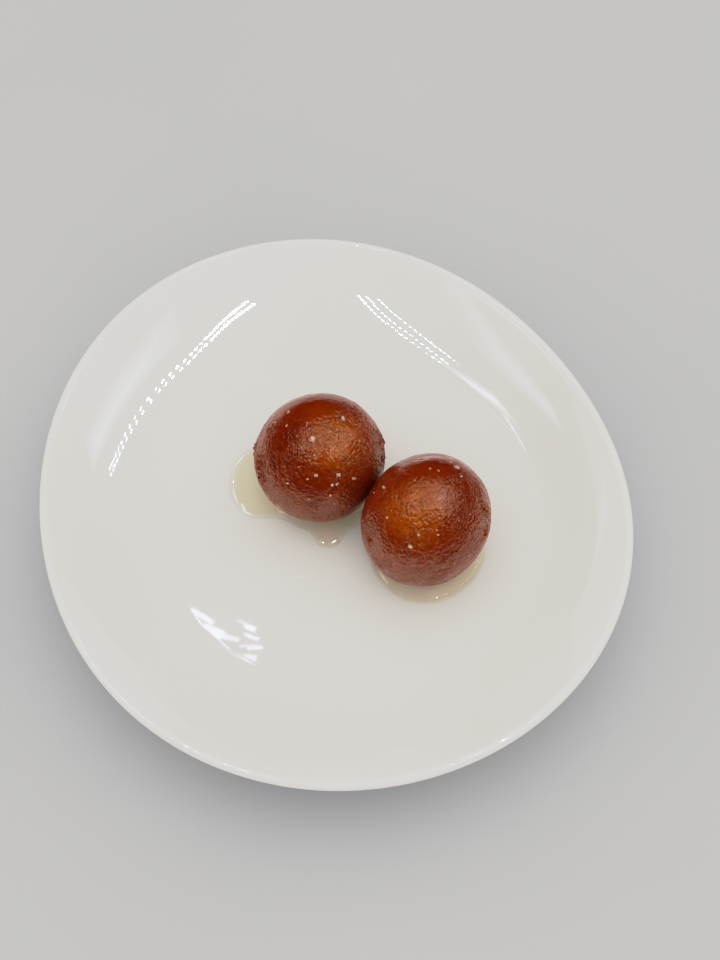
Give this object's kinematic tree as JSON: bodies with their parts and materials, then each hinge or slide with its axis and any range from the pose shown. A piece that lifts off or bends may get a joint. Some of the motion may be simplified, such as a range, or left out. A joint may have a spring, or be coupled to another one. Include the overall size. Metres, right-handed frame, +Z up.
{
  "type": "gulab jamun on a plate",
  "caption": "Gulab jamun balls, fried brown and shiny with syrup, resting in small syrup pools on a white egg-shaped coupe plate.",
  "frame": {"origin": "middle of the plate's outline, on the surface that the foot ring stands on", "axes": "+Z up out of the plate, +Y away from the eater along the plate's longer side, +X to the right"},
  "size_m": [0.2046, 0.2274, 0.0476],
  "materials": {
    "porcelain": "smooth glossy white glaze, slightly warm",
    "fried_dough": "reddish-brown fried skin, finely wrinkled, wet with syrup",
    "syrup": "clear pale yellow sugar syrup"
  },
  "bodies": {
    "root": {"plate": "porcelain", "gulab_jamun_left": "fried_dough", "gulab_jamun_right": "fried_dough", "syrup_pool_left": "syrup", "syrup_pool_right": "syrup"}
  },
  "joints": []
}
